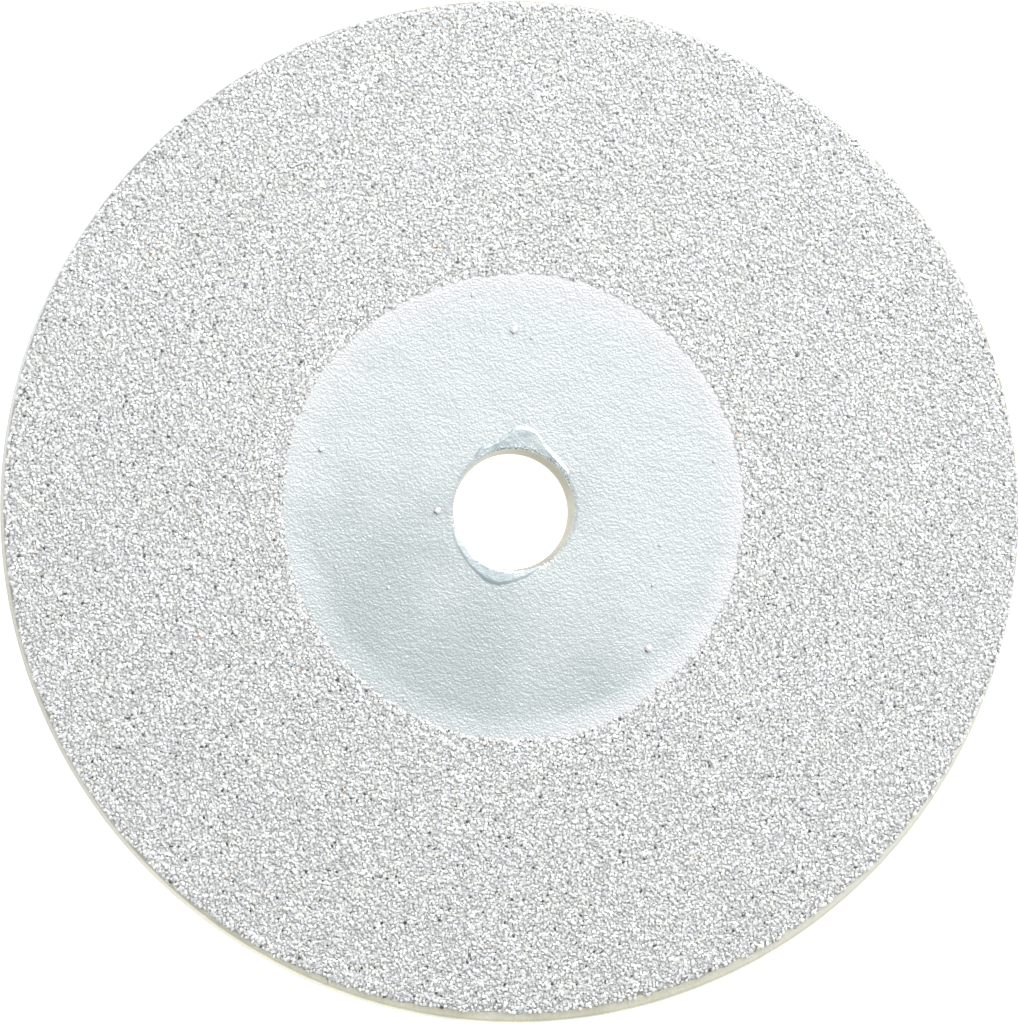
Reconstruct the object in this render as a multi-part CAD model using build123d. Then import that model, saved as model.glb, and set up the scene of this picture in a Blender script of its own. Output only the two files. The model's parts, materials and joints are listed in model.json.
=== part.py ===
from build123d import *
import os
from math import cos, pi, radians, sin

# Grit-coated carving disc for an angle grinder, in millimetres.
# The bore runs along +Z, the origin is on the bore's axis at the back face, and the grit faces +Z.

# Blank
plate_r = 44.0            # 88 mm outside diameter
plate_t = 2.8
bore_r = 5.0              # slides on a 10 mm spindle
bore_land = 1.0           # straight part of the punched bore, at the back
bore_flare = 0.30         # the sheared wall opens by this much towards the grit side
rim_round = 0.30          # rolled-over outer edge on the grit side
back_break = 0.15         # small rounding on the back, at the bore and the rim

# Silver bond and grit, all on the front face
hub_r = 20.1              # smooth hub, clear of grit
hub_coat_t = 0.12
hub_slope_w = 1.7         # the film climbs to the grit over this width
hub_slope_rise = 0.16
bed_t = 0.15
grit_t = 0.35             # grains above the bed
grit_outer_r = 43.56
grit_shift = 0.40         # the grit ring sits this far off the blank's centre
grit_shift_angle = 103    # degrees from +X

# Two smooth runs of bond beside the bore: angle, half angle, reach of the lobe
run_t = 0.16
run_lip = 0.25            # least width of a run beyond the bore's mouth
run_steps = 8             # spans of the outline's curve
bond_run_places = [(80, 52, 1.85), (-112, 48, 1.18)]

# Grains that landed on the hub: distance from the axis, angle, radius
stray_places = [
    (15.7, 90, 0.26), (17.4, 163, 0.22), (6.7, 180, 0.22), (16.9, -45, 0.26),
    (15.0, 84, 0.16), (16.2, 197, 0.16), (12.8, 212, 0.15), (13.0, -13, 0.15),
]
stray_stand = 0.24        # height of a grain above the film
stray_sides = 7
stray_taper = 0.5         # a grain's top against its foot

plate_top = plate_t
hub_top = plate_top + hub_coat_t
bed_top = plate_top + bed_t
mouth_r = bore_r + bore_flare


def ring(outer, inner, z0, height, shift=(0, 0)):
    """Flat ring whose hole stays on the bore's axis while its outside may be shifted."""
    outside = Pos(shift[0], shift[1], z0) * extrude(Circle(outer), height)
    hole = Pos(0, 0, z0 - height) * extrude(Circle(inner), 3 * height)
    return outside - hole


def round_edge(body, radius, height, amount):
    """Rounds the circular edge that has this radius and height."""
    found = [e for e in body.edges().filter_by(GeomType.CIRCLE)
             if abs(e.radius - radius) < 0.01 and abs(e.center().Z - height) < 0.01]
    return fillet(found, amount)


def core_plate():
    flare_t = plate_t - bore_land
    body = ring(plate_r, bore_r, 0, plate_t)
    body -= Pos(0, 0, bore_land + flare_t / 2) * Cone(bore_r, mouth_r, flare_t)
    body = round_edge(body, plate_r, plate_top, rim_round)
    body = round_edge(body, bore_r, 0, back_break)
    return round_edge(body, plate_r, 0, back_break)


def hub_coat():
    """Film with a flat seat and a border that climbs to the grit."""
    slope_top = hub_top + hub_slope_rise
    outline = Plane.XZ * Polyline(
        (mouth_r, plate_top), (hub_r, plate_top), (hub_r, slope_top),
        (hub_r - hub_slope_w, hub_top), (mouth_r, hub_top), close=True)
    return revolve(make_face(outline), Axis.Z)


def off_centre():
    turn = radians(grit_shift_angle)
    return (grit_shift * cos(turn), grit_shift * sin(turn))


def bond_bed():
    return ring(grit_outer_r, hub_r, plate_top, bed_t, off_centre())


def grit_layer():
    return ring(grit_outer_r, hub_r, bed_top, grit_t, off_centre())


def bond_run(angle, half_angle, reach):
    """Crescent that swells from the bore's mouth to one rounded lobe."""
    outer = []
    for step in range(run_steps + 1):
        part = 2 * step / run_steps - 1
        swell = (1 + cos(part * pi)) / 2
        turn = radians(angle + part * half_angle)
        distance = mouth_r + run_lip + reach * swell
        outer.append((distance * cos(turn), distance * sin(turn)))
    first, last, middle = (radians(angle + k * half_angle) for k in (-1, 1, 0))
    inner = ThreePointArc(*[(mouth_r * cos(t), mouth_r * sin(t)) for t in (last, middle, first)])
    edges = [Spline(*outer), Line(outer[-1], inner @ 0), inner, Line(inner @ 1, outer[0])]
    return Pos(0, 0, hub_top) * extrude(make_face(edges), run_t)


def bond_runs():
    return Compound([bond_run(*place) for place in bond_run_places])


def stray_grain(distance, angle, radius):
    """Low faceted nib standing on the film."""
    turn = radians(angle)
    foot = Plane((distance * cos(turn), distance * sin(turn), hub_top), z_dir=(0, 0, 1))
    top = foot.offset(stray_stand)
    return loft([foot * RegularPolygon(radius, stray_sides),
                 top * RegularPolygon(radius * stray_taper, stray_sides)])


def stray_grains():
    return Compound([stray_grain(*place) for place in stray_places])


parts = {
    "core_plate": core_plate,
    "hub_coat": hub_coat,
    "bond_bed": bond_bed,
    "grit_layer": grit_layer,
    "bond_runs": bond_runs,
    "stray_grains": stray_grains,
}

os.makedirs("parts", exist_ok=True)
for name, make in parts.items():
    export_step(make(), f"parts/{name}.step")
    print(name, "written")
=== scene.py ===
import bpy
import json
import math
import random
from mathutils import Matrix, Vector, noise

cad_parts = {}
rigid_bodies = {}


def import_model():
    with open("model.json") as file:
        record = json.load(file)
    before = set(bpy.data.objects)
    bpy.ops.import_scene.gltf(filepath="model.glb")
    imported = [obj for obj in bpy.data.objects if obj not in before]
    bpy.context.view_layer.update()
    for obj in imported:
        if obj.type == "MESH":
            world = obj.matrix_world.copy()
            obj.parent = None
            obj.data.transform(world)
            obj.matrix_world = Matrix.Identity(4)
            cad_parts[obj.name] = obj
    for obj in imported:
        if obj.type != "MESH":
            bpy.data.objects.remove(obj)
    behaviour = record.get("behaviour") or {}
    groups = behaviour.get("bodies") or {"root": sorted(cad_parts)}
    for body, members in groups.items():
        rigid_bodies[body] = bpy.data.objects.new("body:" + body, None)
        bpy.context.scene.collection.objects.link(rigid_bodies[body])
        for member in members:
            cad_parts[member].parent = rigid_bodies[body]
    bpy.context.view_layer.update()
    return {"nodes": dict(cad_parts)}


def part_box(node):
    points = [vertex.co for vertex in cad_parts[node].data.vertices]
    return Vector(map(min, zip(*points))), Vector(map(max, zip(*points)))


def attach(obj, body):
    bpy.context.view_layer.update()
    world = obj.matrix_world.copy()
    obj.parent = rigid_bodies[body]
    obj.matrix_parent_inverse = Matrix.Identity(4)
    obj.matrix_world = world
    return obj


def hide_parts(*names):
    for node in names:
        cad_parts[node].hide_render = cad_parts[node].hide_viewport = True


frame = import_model()
mm = 0.001
print("frame loaded:", ", ".join(sorted(frame["nodes"])))

# heights and radii that every layer shares, read from the frame
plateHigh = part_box("core_plate")[1]
plateRadius = plateHigh.x
plateTop = plateHigh.z
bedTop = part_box("bond_bed")[1].z
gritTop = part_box("grit_layer")[1].z
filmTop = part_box("bond_runs")[0].z

fullTurn = 2 * math.pi
weld = 0.001 * mm             # points this close become one
cornerReach = 0.01 * mm       # a section's corner is found within this distance
noiseMiddle = (0.3, 0.7)      # most of a noise's values lie between these


# selecting and moving
def deselect():
    if bpy.context.object and bpy.context.object.mode != "OBJECT":
        bpy.ops.object.mode_set(mode="OBJECT")
    bpy.ops.object.select_all(action="DESELECT")


def activate(obj):
    deselect()
    obj.select_set(True)
    bpy.context.view_layer.objects.active = obj


def editAll(obj):
    activate(obj)
    bpy.ops.object.mode_set(mode="EDIT")
    bpy.ops.mesh.select_all(action="SELECT")


def named(name):
    obj = bpy.context.object
    obj.name = name
    obj.data.name = name
    return obj


def selectVerts(obj, test):
    # leaves edit mode with only the vertices that pass the test selected
    bpy.ops.object.mode_set(mode="EDIT")
    bpy.ops.mesh.select_mode(type="VERT")
    bpy.ops.mesh.select_all(action="DESELECT")
    bpy.ops.object.mode_set(mode="OBJECT")
    for v in obj.data.vertices:
        v.select = test(v.co)
    bpy.ops.object.mode_set(mode="EDIT")


def moveVerts(obj, place):
    # every vertex goes to place(its point)
    points = [0.0] * (len(obj.data.vertices) * 3)
    obj.data.vertices.foreach_get("co", points)
    for i in range(0, len(points), 3):
        points[i:i + 3] = place(points[i], points[i + 1], points[i + 2])
    obj.data.vertices.foreach_set("co", points)
    obj.data.update()


# soft steps and noise for the shapes
def smoothStep(x):
    x = min(max(x, 0.0), 1.0)
    return x * x * (3 - 2 * x)


def ripple(x, y, size, seed):
    # soft noise from -1 to 1 whose bumps are about this size
    return noise.noise(Vector((x / size, y / size, seed)))


def twoRipples(x, y, size, finer, seeds):
    # bumps of one size, with finer ones half as high on top
    return ripple(x, y, size, seeds[0]) + 0.5 * ripple(x, y, finer * size, seeds[1])


def ringNoise(angle, waves, seed):
    # noise that closes on itself round the disc
    return noise.noise(Vector((math.cos(angle) * waves, math.sin(angle) * waves, seed)))


def ringWander(angle, parts):
    # each part is a share, how wavy it is and its seed
    total = 0.0
    for share, waves, seed in parts:
        total += share * ringNoise(angle, waves, seed)
    return total


# ways to make a mesh and to finish a piece
def lathe(name, corners, steps):
    # closed section in the XZ plane, with a rounding for each corner, spun round the bore's axis
    deselect()
    bpy.ops.mesh.primitive_circle_add(vertices=len(corners), radius=1, fill_type="NGON")
    obj = named(name)
    for v, corner in zip(obj.data.vertices, corners):
        v.co = (corner[0], 0, corner[1])
    for x, z, rounding, segments in corners:
        if rounding == 0:
            continue
        place = Vector((x, 0, z))
        selectVerts(obj, lambda co: (co - place).length < cornerReach)
        bpy.ops.mesh.bevel(offset=rounding, segments=segments, affect="VERTICES")
        bpy.ops.object.mode_set(mode="OBJECT")
    editAll(obj)
    bpy.ops.mesh.delete(type="ONLY_FACE")
    bpy.ops.mesh.select_all(action="SELECT")
    bpy.ops.mesh.spin(steps=steps, angle=fullTurn, center=(0, 0, 0), axis=(0, 0, 1))
    bpy.ops.mesh.select_all(action="SELECT")
    bpy.ops.mesh.remove_doubles(threshold=weld)
    bpy.ops.mesh.normals_make_consistent(inside=False)
    bpy.ops.object.mode_set(mode="OBJECT")
    return obj


def polarSheet(name, anglesFrom, anglesTo, inner, outer, height, across, around):
    # a flat grid bent into part of a ring; inner and outer give the radius at an angle
    deselect()
    bpy.ops.mesh.primitive_grid_add(x_subdivisions=across, y_subdivisions=around, size=1, location=(0, 0, 0))
    obj = named(name)

    def place(x, y, z):
        angle = anglesFrom + (anglesTo - anglesFrom) * (y + 0.5)
        radius = inner(angle) + (outer(angle) - inner(angle)) * (x + 0.5)
        return radius * math.cos(angle), radius * math.sin(angle), height

    moveVerts(obj, place)
    return obj


def closeBelow(obj, bottom):
    # walls down from every open edge, and a floor between them
    editAll(obj)
    bpy.ops.mesh.remove_doubles(threshold=weld)
    bpy.ops.mesh.select_mode(type="EDGE")
    bpy.ops.mesh.select_all(action="DESELECT")
    bpy.ops.mesh.select_non_manifold(extend=False, use_wire=False, use_boundary=True,
                                     use_multi_face=False, use_non_contiguous=False, use_verts=False)
    bpy.ops.mesh.extrude_edges_move()
    bpy.ops.object.mode_set(mode="OBJECT")
    for v in obj.data.vertices:
        if v.select:
            v.co.z = bottom
    bpy.ops.object.mode_set(mode="EDIT")
    bpy.ops.mesh.bridge_edge_loops()
    bpy.ops.mesh.select_all(action="SELECT")
    bpy.ops.mesh.normals_make_consistent(inside=False)
    bpy.ops.object.mode_set(mode="OBJECT")


def finishPiece(obj, material, node, smoothAngle):
    obj.data.materials.clear()
    obj.data.materials.append(material)
    activate(obj)
    bpy.ops.object.shade_smooth_by_angle(angle=math.radians(smoothAngle))
    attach(obj, "root")
    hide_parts(node)


# building blocks of the finishes
def addNode(tree, kind, inputs=None, **settings):
    node = tree.nodes.new(kind)
    for key, value in settings.items():
        setattr(node, key, value)
    for key, value in (inputs or {}).items():
        if isinstance(value, bpy.types.NodeSocket):
            tree.links.new(value, node.inputs[key])
        else:
            node.inputs[key].default_value = value
    return node


def newMaterial(name, metallic):
    material = bpy.data.materials.new(name)
    material.use_nodes = True
    tree = material.node_tree
    shader = tree.nodes["Principled BSDF"]
    shader.inputs["Metallic"].default_value = metallic
    place = tree.nodes.new("ShaderNodeTexCoord").outputs["Object"]
    return material, tree, shader, place


def noiseAt(tree, place, size, detail=2.0, rough=0.5):
    return addNode(tree, "ShaderNodeTexNoise", {
        "Vector": place, "Scale": 1 / size, "Detail": detail, "Roughness": rough}).outputs["Fac"]


def spread(tree, value, low, high, toLow=0.0, toHigh=1.0):
    node = addNode(tree, "ShaderNodeMapRange", {
        "Value": value, "From Min": low, "From Max": high, "To Min": toLow, "To Max": toHigh})
    return node.outputs["Result"]


def mathNode(tree, operation, *values):
    return addNode(tree, "ShaderNodeMath", dict(enumerate(values)), operation=operation).outputs[0]


def blendColour(tree, factor, first, second):
    node = tree.nodes.new("ShaderNodeMix")
    node.data_type = "RGBA"
    for socket, value in zip((node.inputs[0], node.inputs[6], node.inputs[7]), (factor, first, second)):
        if isinstance(value, bpy.types.NodeSocket):
            tree.links.new(value, socket)
        else:
            socket.default_value = (*value, 1) if isinstance(value, tuple) else value
    return node.outputs[2]


def towards(tree, place, side):
    # how far a point lies towards a side of the disc
    node = addNode(tree, "ShaderNodeVectorMath", {0: place, 1: side}, operation="DOT_PRODUCT")
    return node.outputs["Value"]


def heightOf(tree, place):
    return addNode(tree, "ShaderNodeSeparateXYZ", {0: place}).outputs["Z"]


def distanceFromAxis(tree, place):
    flat = addNode(tree, "ShaderNodeVectorMath", {0: place, 1: (1, 1, 0)}, operation="MULTIPLY")
    return addNode(tree, "ShaderNodeVectorMath", {0: flat.outputs[0]}, operation="LENGTH").outputs["Value"]


def paintTonesAndShadeBySide(tree, place, colour, tones):
    # each tone is a colour laid on by side, here mostly painted shade: its colour, its side of the disc,
    # where it starts and is full, and how much it covers
    for paint, side, start, full, share in tones:
        cover = spread(tree, towards(tree, place, side), start, full, 0.0, share)
        colour = blendColour(tree, cover, colour, paint)
    return colour


def finishSurface(tree, shader, colour, grain, roughness, height, depth):
    # roughness is its two ends, which follow the grain, and depth is how high the bumps stand
    tree.links.new(colour, shader.inputs["Base Color"])
    tree.links.new(spread(tree, grain, *noiseMiddle, *roughness), shader.inputs["Roughness"])
    bump = addNode(tree, "ShaderNodeBump", {"Height": height, "Distance": depth, "Strength": 1.0})
    tree.links.new(bump.outputs["Normal"], shader.inputs["Normal"])


# the blank's metal: cream-toned, with marks drawn out along the edge where it was sheared
plateLook = {
    "metallic": 0.85, "roughness": (0.34, 0.52),
    "cream": (0.77, 0.755, 0.635), "creamDark": (0.59, 0.57, 0.46),
    "blotch": 3.0 * mm, "blotchRange": (0.15, 0.40),
    "shearMark": 0.09 * mm, "markLength": 12.0, "markDepth": 0.012 * mm,
    # the rim's tone by side: painted shade at the left and where the lamps reach it, and paler at the lower
    # right
    "rimPaintedShadeAndPale": [
        ((0.42, 0.41, 0.36), (-0.99, -0.10, 0.0), 26.0 * mm, 40.0 * mm, 0.95),
        ((0.775, 0.77, 0.685), (0.87, -0.50, 0.0), 33.0 * mm, 44.0 * mm, 1.0),
        ((0.47, 0.455, 0.38), (0.49, 0.87, 0.0), 6.0 * mm, 34.0 * mm, 1.0),
    ],
    # the bore's sheared wall is duller, and painted shade darkens it where it faces away from the light and
    # towards the bottom
    "bore": (0.54, 0.525, 0.445), "boreDark": (0.40, 0.375, 0.285), "boreStain": 0.25,
    "borePaintedShade": [
        ((0.40, 0.375, 0.285), (0.57, 0.82, 0.0), 3.4 * mm, 5.0 * mm, 1.0),
        ((0.29, 0.28, 0.235), (0.26, -0.97, 0.0), 3.6 * mm, 5.2 * mm, 1.0),
    ],
    "boreEnds": (5.5 * mm, 5.6 * mm),
    # the bond ran over the rim on one side: how far round, how ragged, how far down and how far in
    "overspray": (0.58, 0.59, 0.58), "oversprayDark": (0.34, 0.34, 0.33),
    "speck": 0.16 * mm, "speckRange": (0.35, 0.6),
    "sprayedSide": (-0.75, 0.66, 0.0), "sprayReach": (31.0 * mm, 38.0 * mm),
    "raggedSize": 0.7 * mm, "ragged": (-6.0 * mm, 6.0 * mm),
    "sprayHeights": (0.1 * mm, 0.5 * mm), "sprayFrom": (30 * mm, 31 * mm),
}


def overspray(tree, place, colour):
    wander = noiseAt(tree, place, plateLook["raggedSize"], detail=3.0, rough=0.6)
    wander = spread(tree, wander, *noiseMiddle, *plateLook["ragged"])
    reach = mathNode(tree, "ADD", towards(tree, place, plateLook["sprayedSide"]), wander)
    share = spread(tree, reach, *plateLook["sprayReach"])
    aboveBack = spread(tree, heightOf(tree, place), *plateLook["sprayHeights"])
    onRim = spread(tree, distanceFromAxis(tree, place), *plateLook["sprayFrom"])
    for part in (aboveBack, onRim):
        share = mathNode(tree, "MULTIPLY", share, part)
    specks = spread(tree, noiseAt(tree, place, plateLook["speck"], rough=0.6), *plateLook["speckRange"])
    spray = blendColour(tree, specks, plateLook["oversprayDark"], plateLook["overspray"])
    return blendColour(tree, share, colour, spray)


def plateMetalMaterial():
    material, tree, shader, place = newMaterial("plateMetal", plateLook["metallic"])
    drawn = addNode(tree, "ShaderNodeVectorMath", {0: place, 1: (1, 1, 1 / plateLook["markLength"])},
                    operation="MULTIPLY").outputs[0]
    marks = noiseAt(tree, drawn, plateLook["shearMark"], detail=3.0, rough=0.6)
    blotches = noiseAt(tree, place, plateLook["blotch"], detail=3.0, rough=0.6)
    tone = spread(tree, mathNode(tree, "MULTIPLY", blotches, marks), *plateLook["blotchRange"])
    colour = blendColour(tree, tone, plateLook["creamDark"], plateLook["cream"])
    # painted shade on the rim at the left and on the side the lamps reach
    colour = paintTonesAndShadeBySide(tree, place, colour, plateLook["rimPaintedShadeAndPale"])
    stain = spread(tree, tone, 0.0, 1.0, plateLook["boreStain"], 0.0)
    # painted shade on the bore wall, where it faces away from the light and at the bottom
    boreTone = paintTonesAndShadeBySide(tree, place, plateLook["bore"], plateLook["borePaintedShade"])
    boreTone = blendColour(tree, stain, boreTone, plateLook["boreDark"])
    inBore = spread(tree, distanceFromAxis(tree, place), *plateLook["boreEnds"], 1.0, 0.0)
    colour = overspray(tree, place, blendColour(tree, inBore, colour, boreTone))
    finishSurface(tree, shader, colour, marks, plateLook["roughness"], marks, plateLook["markDepth"])
    return material


# the hub film's silver bond, rippled like orange peel
bondLook = {
    "metallic": 0.9, "roughness": (0.29, 0.41), "peelSize": 0.20 * mm, "peelDepth": 0.052 * mm,
    # painted shade: the film is darker away from its lit side, and the shade's edge wanders in soft patches
    "silver": (0.655, 0.695, 0.70), "shade": (0.50, 0.555, 0.555), "brightSide": (0.26, 0.97, 0.0),
    "shadeToLit": (-17.0 * mm, 5.0 * mm), "patch": 9.0 * mm, "patchReach": (-9.0 * mm, 9.0 * mm),
    # paler along the border with the grit, with more painted light towards the lamp side, least of all
    # towards the lower left
    "pale": (0.79, 0.795, 0.81), "ringStart": 17.4 * mm, "ringFull": 20.0 * mm,
    "ringLitSide": (0.90, 0.43, 0.0), "ringShares": (0.30, 0.85),
}


def silverBondMaterial():
    material, tree, shader, place = newMaterial("silverBond", bondLook["metallic"])
    # painted shade across the film, from its lit side to the far side
    patches = spread(tree, noiseAt(tree, place, bondLook["patch"]), *noiseMiddle, *bondLook["patchReach"])
    litShare = mathNode(tree, "ADD", towards(tree, place, bondLook["brightSide"]), patches)
    litShare = spread(tree, litShare, *bondLook["shadeToLit"])
    colour = blendColour(tree, litShare, bondLook["shade"], bondLook["silver"])
    # a pale border ring whose strength follows the light as painted light, weakest at the lower left
    border = spread(tree, distanceFromAxis(tree, place), bondLook["ringStart"], bondLook["ringFull"])
    share = spread(tree, towards(tree, place, bondLook["ringLitSide"]), -bondLook["ringStart"], 0.0,
                   *bondLook["ringShares"])
    colour = blendColour(tree, mathNode(tree, "MULTIPLY", border, share), colour, bondLook["pale"])
    peel = noiseAt(tree, place, bondLook["peelSize"], detail=1.0)
    finishSurface(tree, shader, colour, peel, bondLook["roughness"], peel, bondLook["peelDepth"])
    return material


# the smoother bond of the two runs
runLook = {
    "metallic": 0.9, "roughness": (0.28, 0.38), "peelSize": 0.20 * mm, "peelDepth": 0.030 * mm,
    "blue": (0.55, 0.625, 0.65), "silver": (0.66, 0.725, 0.74), "drift": 1.2 * mm, "driftRange": (0.4, 0.6),
    # painted shade towards the outer edge of the lower run, on its side away from the light
    "lowShade": ((0.40, 0.47, 0.485), (-0.42, -0.91, 0.0), 5.0 * mm, 6.5 * mm, 1.0),
    # dark crumbs along the bore on the upper run, between two distances towards one side
    "dark": (0.20, 0.22, 0.22), "crumbSize": 0.13 * mm, "crumbRange": (0.54, 0.62),
    "crumbSide": (0.42, 0.91, 0.0), "crumbRing": (5.35 * mm, 5.85 * mm),
    "crumbLimits": ((2.6 * mm, 4.4 * mm), (5.9 * mm, 5.4 * mm)),
}


def smoothBondMaterial():
    material, tree, shader, place = newMaterial("smoothBond", runLook["metallic"])
    drift = noiseAt(tree, place, runLook["drift"])
    drifted = spread(tree, drift, *runLook["driftRange"])
    colour = blendColour(tree, drifted, runLook["blue"], runLook["silver"])
    # painted shade on the lower run's outer edge
    colour = paintTonesAndShadeBySide(tree, place, colour, [runLook["lowShade"]])
    share = spread(tree, distanceFromAxis(tree, place), *runLook["crumbRing"], 1.0, 0.0)
    side = towards(tree, place, runLook["crumbSide"])
    for limits in runLook["crumbLimits"]:
        share = mathNode(tree, "MULTIPLY", share, spread(tree, side, *limits))
    crumbs = spread(tree, noiseAt(tree, place, runLook["crumbSize"], detail=1.0), *runLook["crumbRange"])
    colour = blendColour(tree, mathNode(tree, "MULTIPLY", crumbs, share), colour, runLook["dark"])
    peel = noiseAt(tree, place, runLook["peelSize"], detail=1.0)
    finishSurface(tree, shader, colour, drift, runLook["roughness"], peel, runLook["peelDepth"])
    return material


# the rough bond between the grains
bedLook = {
    "metallic": 0.8, "roughness": (0.7, 0.4), "silver": (0.80, 0.81, 0.81), "pit": (0.36, 0.36, 0.36),
    "grain": 0.20 * mm, "pitRange": (0.42, 0.58), "grainDepth": 0.03 * mm,
}


def roughBondMaterial():
    material, tree, shader, place = newMaterial("roughBond", bedLook["metallic"])
    pits = noiseAt(tree, place, bedLook["grain"], detail=3.0, rough=0.6)
    colour = blendColour(tree, spread(tree, pits, *bedLook["pitRange"]), bedLook["pit"], bedLook["silver"])
    finishSurface(tree, shader, colour, pits, bedLook["roughness"], pits, bedLook["grainDepth"])
    return material


# the silver coat of the grains
gritLook = {
    "metallic": 0.48, "roughness": (0.32, 0.57), "facetGrain": 0.11 * mm, "facetDepth": 0.036 * mm,
    "warm": (0.87, 0.865, 0.835), "cool": (0.825, 0.845, 0.86), "tint": 0.6 * mm, "tintRange": (0.42, 0.58),
    # the share of grains that are grey, dark and rusty; the dark ones get painted light, paler towards the
    # lit side
    "greyShare": 0.30, "darkShare": 0.036, "rustShare": 0.0009,
    "grey": (0.63, 0.64, 0.63), "rust": (0.60, 0.36, 0.22),
    "dark": (0.045, 0.045, 0.045), "litDark": (0.26, 0.26, 0.26),
    # painted shade in the crevices between the grains, fading out between these heights, deepest away from
    # the lit side
    "creviceShade": (0.36, 0.365, 0.36), "creviceHeights": (bedTop + 0.08 * mm, bedTop + 0.14 * mm),
    "litSide": (0.25, 0.97, 0.0), "creviceShares": (0.88, 0.12),
}


def coatedGritMaterial():
    material, tree, shader, place = newMaterial("coatedGrit", gritLook["metallic"])
    tone = addNode(tree, "ShaderNodeAttribute", attribute_name="grainTone").outputs["Fac"]
    tint = spread(tree, noiseAt(tree, place, gritLook["tint"], rough=0.6), *gritLook["tintRange"])
    silver = blendColour(tree, tint, gritLook["warm"], gritLook["cool"])
    colour = blendColour(tree, spread(tree, tone, 0.0, gritLook["greyShare"]), gritLook["grey"], silver)
    # painted shade low between the grains, deeper away from the lit side
    depth = spread(tree, heightOf(tree, place), *gritLook["creviceHeights"], 1.0, 0.0)
    shaded = spread(tree, towards(tree, place, gritLook["litSide"]), -plateRadius, plateRadius,
                    *gritLook["creviceShares"])
    colour = blendColour(tree, mathNode(tree, "MULTIPLY", depth, shaded), colour, gritLook["creviceShade"])
    # painted light and shade: the dark grains are paler towards the lit side and darker away from it
    dark = blendColour(tree, shaded, gritLook["litDark"], gritLook["dark"])
    for limit, paint in ((gritLook["darkShare"], dark), (gritLook["rustShare"], gritLook["rust"])):
        colour = blendColour(tree, mathNode(tree, "GREATER_THAN", tone, limit), paint, colour)
    fine = noiseAt(tree, place, gritLook["facetGrain"], rough=0.6)
    finishSurface(tree, shader, colour, fine, gritLook["roughness"], fine, gritLook["facetDepth"])
    return material


plateMetal = plateMetalMaterial()
silverBond = silverBondMaterial()
smoothBond = smoothBondMaterial()
roughBond = roughBondMaterial()
coatedGrit = coatedGritMaterial()
print("finishes ready")


# the metal blank
blank = {
    "boreRadius": 5.0 * mm, "mouthRadius": 5.30 * mm, "land": 1.0 * mm,
    "rimRound": 0.30 * mm, "rimSegments": 6, "backBreak": 0.15 * mm, "backSegments": 3,
    "steps": 256, "smoothAngle": 40,
}


def makeBlank():
    # radius, height, rounding and its segments
    corners = [
        (blank["boreRadius"], 0.0, blank["backBreak"], blank["backSegments"]),
        (blank["boreRadius"], blank["land"], 0, 1),
        (blank["mouthRadius"], plateTop, 0, 1),
        (plateRadius, plateTop, blank["rimRound"], blank["rimSegments"]),
        (plateRadius, 0.0, blank["backBreak"], blank["backSegments"]),
    ]
    obj = lathe("punchedBlank", corners, blank["steps"])
    finishPiece(obj, plateMetal, "core_plate", blank["smoothAngle"])


makeBlank()
print("blank made")


# the grit ring's outline, shared by the bond under it and the grains on it
ringShape = {
    # the hub's edge: a little high, wavy, and ragged where the mask's edge was
    "hub": 20.05 * mm, "hubRise": 0.40 * mm, "hubWander": 0.28 * mm,
    "hubWaves": [(1.0, 1.3, 3.1), (0.6, 4.0, 7.7), (0.5, 22.0, 5.5), (0.9, 60.0, 8.5)],
    # the bare rim is widest towards one side, in degrees, and closes up on the other
    "bareSide": 283, "bareWidth": 0.80 * mm, "bareFall": 1.40 * mm, "leastBare": 0.05 * mm,
    "edgeWander": 0.14 * mm, "edgeWaves": [(1.0, 9.0, 1.9), (1.0, 45.0, 6.1), (1.6, 120.0, 2.3)],
    "edgeGap": 0.03 * mm,
}


def hubEdge(angle):
    wander = ringShape["hubWander"] * ringWander(angle, ringShape["hubWaves"])
    return ringShape["hub"] + wander + ringShape["hubRise"] * math.sin(angle)


def outerEdge(angle):
    away = 1 - math.cos(angle - math.radians(ringShape["bareSide"]))
    bare = max(ringShape["bareWidth"] - ringShape["bareFall"] * away, ringShape["leastBare"])
    wander = ringWander(angle, ringShape["edgeWaves"]) * ringShape["edgeWander"]
    return min(plateRadius - bare + wander, plateRadius - ringShape["edgeGap"])


# rough bond under the grains
bed = {
    "steps": 640, "rings": 90, "innerOverlap": 0.5 * mm, "outerGap": 0.08 * mm, "fill": 0.045 * mm,
    "roughSize": 0.55 * mm, "roughHeight": 0.05 * mm, "finer": 0.4, "seeds": (2.0, 5.0),
    # at both edges it slopes down under its neighbours
    "outerSlope": 0.5 * mm, "outerDrop": 0.19 * mm, "innerSlope": 0.3 * mm, "innerDrop": 0.13 * mm,
    "depth": 0.25 * mm, "smoothAngle": 80,
}


def makeRoughBed():
    height = bedTop + bed["fill"]
    obj = polarSheet("bondBed", 0, fullTurn, lambda a: hubEdge(a) - bed["innerOverlap"],
                     lambda a: outerEdge(a) - bed["outerGap"], height, bed["rings"], bed["steps"])

    def roughen(x, y, z):
        angle = math.atan2(y, x)
        radius = math.hypot(x, y)
        lift = twoRipples(x, y, bed["roughSize"], bed["finer"], bed["seeds"])
        fall = smoothStep((outerEdge(angle) - radius) / bed["outerSlope"])
        sink = smoothStep((hubEdge(angle) - radius) / bed["innerSlope"])
        return x, y, z + bed["roughHeight"] * lift - bed["outerDrop"] * (1 - fall) - bed["innerDrop"] * sink

    moveVerts(obj, roughen)
    closeBelow(obj, plateTop - bed["depth"])
    finishPiece(obj, roughBond, "bond_bed", bed["smoothAngle"])


makeRoughBed()
print("rough bond made")


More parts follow.
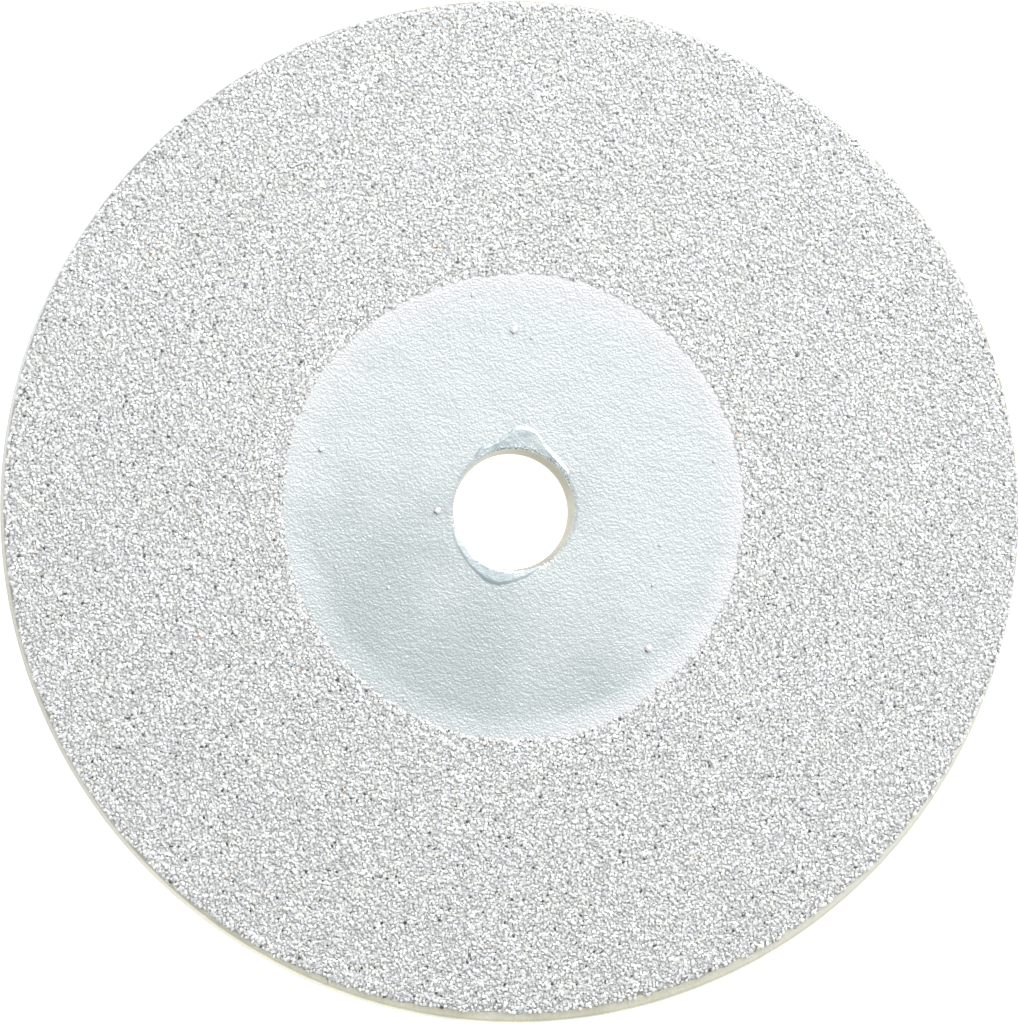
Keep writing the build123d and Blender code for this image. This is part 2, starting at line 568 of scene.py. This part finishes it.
# smooth film on the hub
film = {
    "pitch": 0.13 * mm, "innerEdge": 5.26 * mm, "innerRagged": 0.05 * mm, "innerWaves": (40.0, 4.4),
    "underGrit": 0.45 * mm, "dropWithin": 0.35, "pullWithin": 0.65,     # the last two are in grid steps
    "peel": 0.45 * mm, "peelHeight": 0.010 * mm, "finer": 0.55, "seeds": (1.0, 4.0),
    "swell": 2.6 * mm, "swellHeight": 0.020 * mm, "swellSeed": 9.0,
    # it climbs to the grit, and rounds down to the bore, where the peel is calmer
    "slopeWidth": 2.3 * mm, "slopeRise": 0.05 * mm,
    "edgeRound": 0.30 * mm, "edgeDrop": 0.07 * mm, "edgeCalm": 0.7,
    "depth": 0.1 * mm, "smoothAngle": 70,
}


def filmHeight(x, y):
    radius = math.hypot(x, y)
    border = hubEdge(math.atan2(y, x))
    climb = smoothStep((radius - border + film["slopeWidth"]) / film["slopeWidth"]) * film["slopeRise"]
    mouth = 1 - smoothStep((radius - film["innerEdge"]) / film["edgeRound"])
    peel = twoRipples(x, y, film["peel"], film["finer"], film["seeds"])
    swell = ripple(x, y, film["swell"], film["swellSeed"])
    return (filmTop + climb - film["edgeDrop"] * mouth
            + film["peelHeight"] * peel * (1 - film["edgeCalm"] * mouth) + film["swellHeight"] * swell)


def filmInnerEdge(angle):
    return film["innerEdge"] + film["innerRagged"] * ringNoise(angle, *film["innerWaves"])


def makeFilm():
    # a fine square grid, cut to the hub's outline and pulled onto the bore's edge
    reach = ringShape["hub"] + ringShape["hubRise"] + 2 * ringShape["hubWander"] + film["underGrit"]
    step = film["pitch"]
    cells = round(2 * reach / step)
    deselect()
    bpy.ops.mesh.primitive_grid_add(x_subdivisions=cells, y_subdivisions=cells, size=2 * reach)
    obj = named("hubFilm")

    def outsideFilm(co):
        radius = math.hypot(co.x, co.y)
        angle = math.atan2(co.y, co.x)
        tooNear = radius < filmInnerEdge(angle) - film["dropWithin"] * step
        return tooNear or radius > hubEdge(angle) + film["underGrit"]

    def settle(x, y, z):
        radius = math.hypot(x, y)
        inner = filmInnerEdge(math.atan2(y, x))
        if radius < inner + film["pullWithin"] * step:
            x, y = x * inner / radius, y * inner / radius
        return x, y, filmHeight(x, y)

    selectVerts(obj, outsideFilm)
    bpy.ops.mesh.delete(type="VERT")
    bpy.ops.object.mode_set(mode="OBJECT")
    moveVerts(obj, settle)
    closeBelow(obj, plateTop - film["depth"])
    finishPiece(obj, silverBond, "hub_coat", film["smoothAngle"])


makeFilm()
print("hub film made")


# two smooth runs at the bore
runs = {
    "across": 34, "around": 190, "innerEdge": 5.25 * mm,
    # a run is at its full height where it is this wide, with a lip just inside its edge
    "fullWidth": 0.9 * mm, "leastWidth": 0.01 * mm, "rimWidth": 0.42 * mm, "sagCurve": 0.9,
    "lump": 0.025 * mm, "lumpSize": 0.5 * mm, "lumpSeed": 3.0,
    "mouthDrop": 0.06 * mm, "mouthWidth": 0.18 * mm,
    "crumbSize": 0.14 * mm, "crumbHeight": 0.07 * mm, "crumbReach": 0.6 * mm, "crumbSeed": 6.0,
    "bury": 0.015 * mm, "depth": 0.08 * mm, "smoothAngle": 60,
    # an outline's points are an angle in degrees and a distance from the axis in millimetres
    "runAbove": {
        "thick": 0.12 * mm, "crumbly": 1.0, "sag": 0.70,
        "outline": [(22, 5.35), (28, 5.60), (34, 5.92), (44, 5.95), (56, 6.15), (64, 6.43), (70, 6.92),
                    (76, 7.30), (82, 7.41), (89, 7.21), (95, 6.77), (102, 6.38), (110, 6.24), (117, 6.24),
                    (122, 6.08), (127, 5.78), (133, 5.35)],
    },
    "runBelow": {
        "thick": 0.075 * mm, "crumbly": 0.2, "sag": 0.5,
        "outline": [(-168, 5.35), (-160, 5.72), (-150, 5.98), (-141, 6.13), (-132, 6.29), (-121, 6.53),
                    (-111, 6.72), (-103, 6.72), (-95, 6.50), (-87, 6.24), (-79, 5.98), (-72, 5.70),
                    (-64, 5.35)],
    },
}


def outlineRadius(outline, angle):
    # smooth line through the outline's points
    degrees = min(max(math.degrees(angle), outline[0][0]), outline[-1][0])
    k = 0
    while k < len(outline) - 2 and degrees > outline[k + 1][0]:
        k += 1
    before, start, end, after = (outline[min(max(k + n, 0), len(outline) - 1)] for n in (-1, 0, 1, 2))
    span = end[0] - start[0]
    t = (degrees - start[0]) / span
    leave = (end[1] - before[1]) / (end[0] - before[0]) * span
    arrive = (after[1] - start[1]) / (after[0] - start[0]) * span
    radius = start[1] + (end[1] - start[1]) * smoothStep(t)
    radius += leave * t * (1 - t) ** 2 - arrive * t * t * (1 - t)
    return radius * mm


def makeRun(name):
    run = runs[name]
    outline = run["outline"]
    first, last = math.radians(outline[0][0]), math.radians(outline[-1][0])
    obj = polarSheet(name, first, last, lambda a: runs["innerEdge"], lambda a: outlineRadius(outline, a),
                     0.0, runs["across"], runs["around"])

    def crown(x, y, z):
        # highest in a lip just inside its edge, then falling away to the bore
        radius = math.hypot(x, y)
        edge = outlineRadius(outline, math.atan2(y, x))
        width = max(edge - runs["innerEdge"], runs["leastWidth"])
        fromEdge = edge - radius
        fromBore = radius - runs["innerEdge"]
        rim = min(runs["rimWidth"], 0.5 * width)
        peak = run["thick"] * smoothStep(width / runs["fullWidth"])
        outside = smoothStep(fromEdge / rim)
        behind = (fromEdge - rim) / max(width - rim, runs["leastWidth"])
        inside = 1 - run["sag"] * min(max(behind, 0.0), 1.0) ** runs["sagCurve"]
        lump = runs["lump"] * ripple(x, y, runs["lumpSize"], runs["lumpSeed"])
        mouth = runs["mouthDrop"] * (1 - smoothStep(fromBore / runs["mouthWidth"]))
        crumbs = runs["crumbHeight"] * run["crumbly"] * ripple(x, y, runs["crumbSize"], runs["crumbSeed"])
        crumbs *= smoothStep(1 - fromBore / runs["crumbReach"]) * outside
        return x, y, filmTop - runs["bury"] + (peak + lump) * outside * inside + crumbs - mouth

    moveVerts(obj, crown)
    closeBelow(obj, plateTop - runs["depth"])
    return obj


def joinAs(name, pieces):
    activate(pieces[0])
    for piece in pieces:
        piece.select_set(True)
    bpy.ops.object.join()
    return named(name)


def makeRuns():
    obj = joinAs("bondRuns", [makeRun("runAbove"), makeRun("runBelow")])
    finishPiece(obj, smoothBond, "bond_runs", runs["smoothAngle"])


makeRuns()
print("bond runs made")


# single grains that landed on the hub, under the film
strays = {
    # distance from the axis, angle in degrees, radius of the nib; lengths in millimetres
    "places": [(15.5, 90, 0.36), (17.4, 163, 0.27), (6.6, 181, 0.33), (16.6, -45.4, 0.36),
               (14.9, 84, 0.17), (16.2, 198, 0.17), (12.8, 212, 0.16), (13.0, -13, 0.17),
               (18.8, 101, 0.16), (13.6, -28, 0.15), (17.9, 14, 0.16), (18.9, -120, 0.17)],
    "lump": 0.30, "lumpFineness": 1.3, "wide": 0.9, "high": 0.7, "stand": 0.42,
    # painted shade low on one flank, away from the light, in the dark grains' tone; coated elsewhere
    "bareSide": (-0.64, -0.77), "shadeFrom": 0.74,
    "seed": 11, "shiftRange": 50, "smoothAngle": 60,
}


def makeNib(x, y, size, shift):
    deselect()
    bpy.ops.mesh.primitive_ico_sphere_add(subdivisions=4, radius=size, location=(x, y, filmTop))
    obj = bpy.context.object
    bpy.ops.object.transform_apply(location=True, rotation=False, scale=False)

    def lump(px, py, pz):
        dx, dy, dz = px - x, py - y, pz - filmTop
        spot = Vector((dx, dy, dz)) / size * strays["lumpFineness"] + Vector((shift, 0, 0))
        swell = 1 + strays["lump"] * noise.noise(spot)
        wide, high = swell * strays["wide"], swell * strays["high"]
        return x + dx * wide, y + dy * wide, min(filmTop + strays["stand"] * size + dz * high, gritTop)

    moveVerts(obj, lump)
    tones = obj.data.attributes.new(name="grainTone", type="FLOAT", domain="POINT")
    for v in obj.data.vertices:
        # painted shade: the flank away from the light takes the dark grains' tone
        flank = (Vector((v.co.x - x, v.co.y - y)) / size).dot(Vector(strays["bareSide"]))
        tones.data[v.index].value = 0.5 * gritLook["darkShare"] if flank > strays["shadeFrom"] else 1.0
    return obj


def makeStrays():
    dice = random.Random(strays["seed"])
    made = []
    for distance, degrees, size in strays["places"]:
        angle = math.radians(degrees)
        x, y = distance * mm * math.cos(angle), distance * mm * math.sin(angle)
        made.append(makeNib(x, y, size * mm, dice.uniform(0, strays["shiftRange"])))
    obj = joinAs("strayGrains", made)
    finishPiece(obj, coatedGrit, "stray_grains", strays["smoothAngle"])


makeStrays()
print("stray grains made")


# the grains
grit = {
    "sectors": 8, "seed": 5, "seedStep": 17, "across": 40, "around": 90,
    "innerGap": 0.05 * mm, "outerGap": 0.12 * mm, "spacing": 0.15 * mm, "density": 1.6e7,
    # the crystal shapes, and how far their corners are knocked out of true
    "kinds": 6, "knock": 0.16, "knockEvenness": 0.2, "smoothAngle": 36,
    "size": 0.38 * mm, "minScale": 0.52, "maxScale": 1.25,
    "foot": 0.08 * mm, "lift": (-0.03 * mm, 0.10 * mm), "squash": 0.64,
    # the dark ones sit deeper and are smaller
    "sink": 0.13 * mm, "darkSize": 0.80,
    # every random choice adds its own number to the seed
    "draws": {"lift": 100, "kind": 200, "turn": 300, "scale": 400, "tone": 500},
}


def makeGrainKinds():
    # a few crystal shapes, each an icosphere knocked out of true, whose facets stay flat
    box = bpy.data.collections.new("grainKinds")
    bpy.context.scene.collection.children.link(box)
    for kind in range(grit["kinds"]):
        deselect()
        bpy.ops.mesh.primitive_ico_sphere_add(subdivisions=1, radius=0.5)
        obj = named(f"grainKind{kind}")
        editAll(obj)
        bpy.ops.transform.vertex_random(offset=grit["knock"], uniform=grit["knockEvenness"], normal=0.0,
                                        seed=kind + 1)
        bpy.ops.object.mode_set(mode="OBJECT")
        obj.data.materials.append(coatedGrit)
        for parent in list(obj.users_collection):
            parent.objects.unlink(obj)
        box.objects.link(obj)
    return box


def scatterGroup(box):
    group = bpy.data.node_groups.new("scatterGrains", "GeometryNodeTree")
    for way in ("INPUT", "OUTPUT"):
        group.interface.new_socket("Geometry", in_out=way, socket_type="NodeSocketGeometry")
    group.interface.new_socket("Seed", in_out="INPUT", socket_type="NodeSocketInt")
    start = group.nodes.new("NodeGroupInput")
    seed = start.outputs["Seed"]
    points = addNode(group, "GeometryNodeDistributePointsOnFaces", {
        "Mesh": start.outputs["Geometry"], "Distance Min": grit["spacing"], "Density Max": grit["density"],
        "Seed": seed}, distribute_method="POISSON").outputs["Points"]

    def dice(draw, kind, low, high):
        node = group.nodes.new("FunctionNodeRandomValue")
        node.data_type = kind
        ends = [s for s in node.inputs if s.enabled]
        ends[0].default_value, ends[1].default_value = low, high
        group.links.new(mathNode(group, "ADD", seed, grit["draws"][draw]), node.inputs["Seed"])
        return [s for s in node.outputs if s.enabled][0]

    # each grain keeps one number that says what it looks like, and the lowest ones sit deeper
    tone = dice("tone", "FLOAT", 0.0, 1.0)
    toned = addNode(group, "GeometryNodeStoreNamedAttribute", {
        "Geometry": points, "Name": "grainTone"}, data_type="FLOAT", domain="POINT")
    group.links.new(tone, [s for s in toned.inputs if s.name == "Value" and s.enabled][0])
    isSunk = mathNode(group, "LESS_THAN", tone, gritLook["darkShare"])
    drop = mathNode(group, "MULTIPLY", isSunk, -grit["sink"])
    height = mathNode(group, "ADD", dice("lift", "FLOAT", *grit["lift"]), drop)
    move = addNode(group, "ShaderNodeCombineXYZ", {"Z": height}).outputs[0]
    points = addNode(group, "GeometryNodeSetPosition", {
        "Geometry": toned.outputs["Geometry"], "Offset": move}).outputs["Geometry"]
    kinds = addNode(group, "GeometryNodeCollectionInfo", {
        "Collection": box, "Separate Children": True, "Reset Children": True}).outputs[0]
    least, most = grit["minScale"] * grit["size"], grit["maxScale"] * grit["size"]
    shrink = mathNode(group, "MULTIPLY_ADD", isSunk, grit["darkSize"] - 1, 1.0)
    scale = addNode(group, "ShaderNodeVectorMath", {
        0: dice("scale", "FLOAT_VECTOR", (least, least, least), (most, most, most)), "Scale": shrink},
        operation="SCALE").outputs[0]
    copies = addNode(group, "GeometryNodeInstanceOnPoints", {
        "Points": points, "Instance": kinds, "Pick Instance": True,
        "Instance Index": dice("kind", "INT", 0, grit["kinds"] - 1),
        "Rotation": dice("turn", "FLOAT_VECTOR", (0, 0, 0), (fullTurn, fullTurn, fullTurn)),
        "Scale": scale}).outputs["Instances"]
    solid = addNode(group, "GeometryNodeRealizeInstances", {"Geometry": copies}).outputs["Geometry"]
    finish = group.nodes.new("NodeGroupOutput")
    group.links.new(solid, finish.inputs["Geometry"])
    return group


def makeSector(number, group):
    foot = bedTop + grit["foot"]
    first = fullTurn * number / grit["sectors"]
    last = fullTurn * (number + 1) / grit["sectors"]
    obj = polarSheet(f"gritSector{number + 1}", first, last, lambda a: hubEdge(a) + grit["innerGap"],
                     lambda a: outerEdge(a) - grit["outerGap"], foot, grit["across"], grit["around"])
    activate(obj)
    scatter = obj.modifiers.new("scatter", "NODES")
    scatter.node_group = group
    scatter["Socket_2"] = grit["seed"] + grit["seedStep"] * number      # the group's Seed
    bpy.ops.object.modifier_apply(modifier="scatter")

    def settle(x, y, z):
        # nothing past the rim, and the grains a little flattened
        pull = min(1.0, plateRadius / math.hypot(x, y))
        return x * pull, y * pull, min(foot + grit["squash"] * (z - foot), gritTop)

    moveVerts(obj, settle)
    finishPiece(obj, coatedGrit, "grit_layer", grit["smoothAngle"])
    return len(obj.data.polygons)


def makeGrains():
    box = makeGrainKinds()
    group = scatterGroup(box)
    total = 0
    for number in range(grit["sectors"]):
        faces = makeSector(number, group)
        total += faces
        print("  sector", number + 1, faces, "faces")
    for kind in list(box.objects):
        bpy.data.objects.remove(kind)
    bpy.data.collections.remove(box)
    print("grains made,", total, "faces")


makeGrains()


# floor, light and camera
stageLook = {
    "floorSize": 30, "floorDrop": 0.02 * mm, "wallRadius": 14.7, "wallHigh": 1.0, "wallSides": 64,
    "floor": (0.94, 0.94, 0.94), "floorPale": (0.97, 0.97, 0.97), "floorPatch": 0.2,
    "floorRough": 0.9, "floorGlow": 0.62, "world": (0.985, 0.995, 1.0), "worldStrength": 0.80,
    # the panel's near edge is what the hub film mirrors, so that ripples turn lighter and darker
    "panelPower": 2.2, "panelSize": 1.1, "panelPlace": (0.275, 0.48, 0.80),
    "keyPower": 2.3, "keySize": 0.30, "keyPlace": (0.25, 0.45, 0.40),
}


def addLamp(name, power, size, place):
    deselect()
    bpy.ops.object.light_add(type="AREA", location=place)
    lamp = bpy.context.object
    lamp.name = name
    lamp.data.energy = power
    lamp.data.shape = "DISK"
    lamp.data.size = size
    lamp.rotation_euler = (-Vector(place)).to_track_quat("-Z", "Y").to_euler()
    lamp.visible_camera = False


def makeStage():
    deselect()
    bpy.ops.mesh.primitive_plane_add(size=stageLook["floorSize"], location=(0, 0, -stageLook["floorDrop"]))
    floor = named("floor")
    material, tree, shader, place = newMaterial("paleFloor", 0.0)
    patches = noiseAt(tree, place, stageLook["floorPatch"])
    colour = blendColour(tree, patches, stageLook["floor"], stageLook["floorPale"])
    tree.links.new(colour, shader.inputs["Base Color"])
    shader.inputs["Roughness"].default_value = stageLook["floorRough"]
    shader.inputs["Emission Color"].default_value = (1, 1, 1, 1)
    shader.inputs["Emission Strength"].default_value = stageLook["floorGlow"]
    floor.data.materials.append(material)
    # a low wall near the floor's edge, as a backdrop
    deselect()
    bpy.ops.mesh.primitive_cylinder_add(vertices=stageLook["wallSides"], radius=stageLook["wallRadius"],
                                        depth=2 * stageLook["wallHigh"], end_fill_type="NOTHING")
    wall = named("lowWall")
    wall.data.materials.append(material)
    world = bpy.data.worlds.new("paleRoom")
    world.use_nodes = True
    back = world.node_tree.nodes["Background"]
    back.inputs["Color"].default_value = (*stageLook["world"], 1)
    back.inputs["Strength"].default_value = stageLook["worldStrength"]
    bpy.context.scene.world = world
    addLamp("panelLamp", stageLook["panelPower"], stageLook["panelSize"], stageLook["panelPlace"])
    addLamp("keyLamp", stageLook["keyPower"], stageLook["keySize"], stageLook["keyPlace"])
    bpy.context.scene.view_settings.view_transform = "Standard"


cameraLook = {
    "distance": 1.0, "tilt": 8.1, "side": 207.0,      # degrees off the bore's axis, and towards which side
    "aim": (-0.227 * mm, -0.090 * mm, 1.6 * mm), "lens": 408.97, "clip": (0.01, 20),
}


def makeCamera():
    deselect()
    tilt = math.radians(cameraLook["tilt"])
    side = math.radians(cameraLook["side"])
    back = Vector((math.sin(tilt) * math.cos(side), math.sin(tilt) * math.sin(side), math.cos(tilt)))
    up = (Vector((0, 1, 0)) - back * back.y).normalized()
    across = up.cross(back)
    turn = Matrix((across, up, back)).transposed()
    place = Vector(cameraLook["aim"]) + back * cameraLook["distance"]
    bpy.ops.object.camera_add(location=place, rotation=turn.to_euler())
    camera = bpy.context.object
    camera.name = "camera"
    camera.data.lens = cameraLook["lens"]
    camera.data.clip_start, camera.data.clip_end = cameraLook["clip"]
    bpy.context.scene.camera = camera


makeStage()
makeCamera()
print("stage and camera ready")
